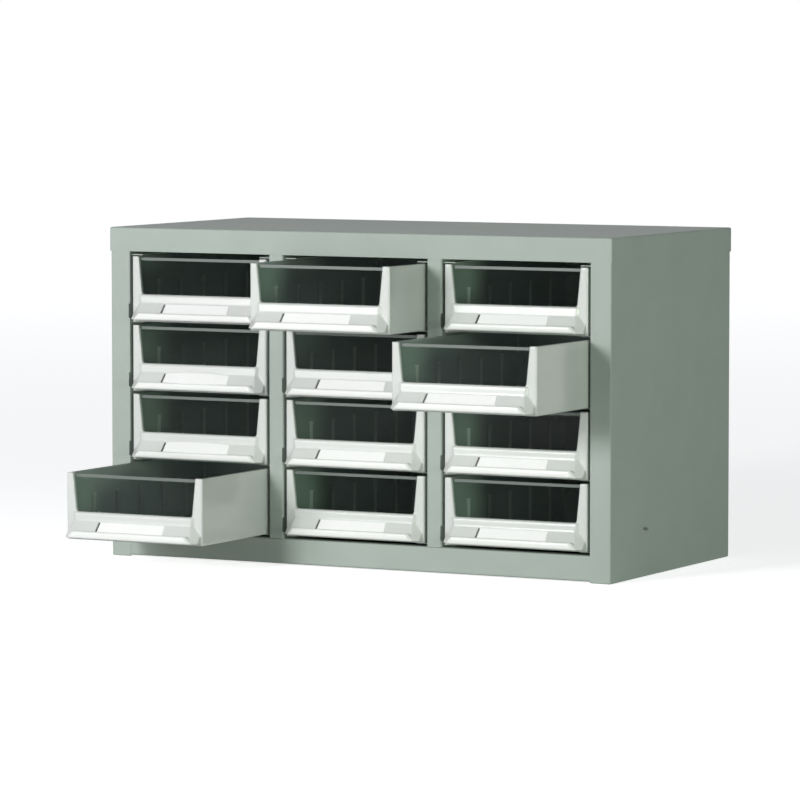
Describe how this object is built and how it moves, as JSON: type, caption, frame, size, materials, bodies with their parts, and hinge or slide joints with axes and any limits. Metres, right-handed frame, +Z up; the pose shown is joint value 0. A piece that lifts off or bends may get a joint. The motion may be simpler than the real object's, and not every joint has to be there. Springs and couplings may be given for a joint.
{
  "type": "parts bin cabinet",
  "caption": "Bench-top parts cabinet: folded sheet-steel case with rows of sliding moulded drawers, each with a clear window, finger pull and label card.",
  "frame": {"origin": "on the floor, in the middle of the case's footprint", "axes": "+X to the right seen from the front, +Y from the front to the back, +Z up; the drawers open towards -Y"},
  "size_m": [0.586, 0.4406, 0.3484],
  "materials": {
    "case_enamel": "grey-green baked enamel, half gloss",
    "drawer_abs": "off-white moulded ABS outside, darker grey-green inside",
    "window_clear": "clear moulded styrene",
    "card_paper": "blank white card",
    "rivet_aluminium": "plain"
  },
  "bodies": {
    "case": {"top_cap": "case_enamel", "side_panel_left": "case_enamel", "side_panel_right": "case_enamel", "side_liner_left": "case_enamel", "side_liner_right": "case_enamel", "mullion_1": "case_enamel", "mullion_2": "case_enamel", "partition_1": "case_enamel", "partition_2": "case_enamel", "front_rail": "case_enamel", "bottom_pan": "case_enamel", "back_panel": "case_enamel", "back_rivets": "rivet_aluminium", "runners_c1_left": "case_enamel", "runners_c1_right": "case_enamel", "runners_c2_left": "case_enamel", "runners_c2_right": "case_enamel", "runners_c3_left": "case_enamel", "runners_c3_right": "case_enamel"},
    "drawer_r1c1": {"tray_r1c1": "drawer_abs", "window_r1c1": "window_clear", "label_card_r1c1": "card_paper"},
    "drawer_r1c2": {"tray_r1c2": "drawer_abs", "window_r1c2": "window_clear", "label_card_r1c2": "card_paper"},
    "drawer_r1c3": {"tray_r1c3": "drawer_abs", "window_r1c3": "window_clear", "label_card_r1c3": "card_paper"},
    "drawer_r2c1": {"tray_r2c1": "drawer_abs", "window_r2c1": "window_clear", "label_card_r2c1": "card_paper"},
    "drawer_r2c2": {"tray_r2c2": "drawer_abs", "window_r2c2": "window_clear", "label_card_r2c2": "card_paper"},
    "drawer_r2c3": {"tray_r2c3": "drawer_abs", "window_r2c3": "window_clear", "label_card_r2c3": "card_paper"},
    "drawer_r3c1": {"tray_r3c1": "drawer_abs", "window_r3c1": "window_clear", "label_card_r3c1": "card_paper"},
    "drawer_r3c2": {"tray_r3c2": "drawer_abs", "window_r3c2": "window_clear", "label_card_r3c2": "card_paper"},
    "drawer_r3c3": {"tray_r3c3": "drawer_abs", "window_r3c3": "window_clear", "label_card_r3c3": "card_paper"},
    "drawer_r4c1": {"tray_r4c1": "drawer_abs", "window_r4c1": "window_clear", "label_card_r4c1": "card_paper"},
    "drawer_r4c2": {"tray_r4c2": "drawer_abs", "window_r4c2": "window_clear", "label_card_r4c2": "card_paper"},
    "drawer_r4c3": {"tray_r4c3": "drawer_abs", "window_r4c3": "window_clear", "label_card_r4c3": "card_paper"}
  },
  "joints": [
    {"name": "drawer_r1c1_slide", "type": "slide", "parent": "case", "child": "drawer_r1c1", "axis": [0, -1, 0], "range_m": [0, 0.2]},
    {"name": "drawer_r1c2_slide", "type": "slide", "parent": "case", "child": "drawer_r1c2", "axis": [0, -1, 0], "range_m": [-0.075, 0.125]},
    {"name": "drawer_r1c3_slide", "type": "slide", "parent": "case", "child": "drawer_r1c3", "axis": [0, -1, 0], "range_m": [0, 0.2]},
    {"name": "drawer_r2c1_slide", "type": "slide", "parent": "case", "child": "drawer_r2c1", "axis": [0, -1, 0], "range_m": [0, 0.2]},
    {"name": "drawer_r2c2_slide", "type": "slide", "parent": "case", "child": "drawer_r2c2", "axis": [0, -1, 0], "range_m": [0, 0.2]},
    {"name": "drawer_r2c3_slide", "type": "slide", "parent": "case", "child": "drawer_r2c3", "axis": [0, -1, 0], "range_m": [-0.115, 0.085]},
    {"name": "drawer_r3c1_slide", "type": "slide", "parent": "case", "child": "drawer_r3c1", "axis": [0, -1, 0], "range_m": [0, 0.2]},
    {"name": "drawer_r3c2_slide", "type": "slide", "parent": "case", "child": "drawer_r3c2", "axis": [0, -1, 0], "range_m": [0, 0.2]},
    {"name": "drawer_r3c3_slide", "type": "slide", "parent": "case", "child": "drawer_r3c3", "axis": [0, -1, 0], "range_m": [0, 0.2]},
    {"name": "drawer_r4c1_slide", "type": "slide", "parent": "case", "child": "drawer_r4c1", "axis": [0, -1, 0], "range_m": [-0.133, 0.067]},
    {"name": "drawer_r4c2_slide", "type": "slide", "parent": "case", "child": "drawer_r4c2", "axis": [0, -1, 0], "range_m": [0, 0.2]},
    {"name": "drawer_r4c3_slide", "type": "slide", "parent": "case", "child": "drawer_r4c3", "axis": [0, -1, 0], "range_m": [0, 0.2]}
  ]
}
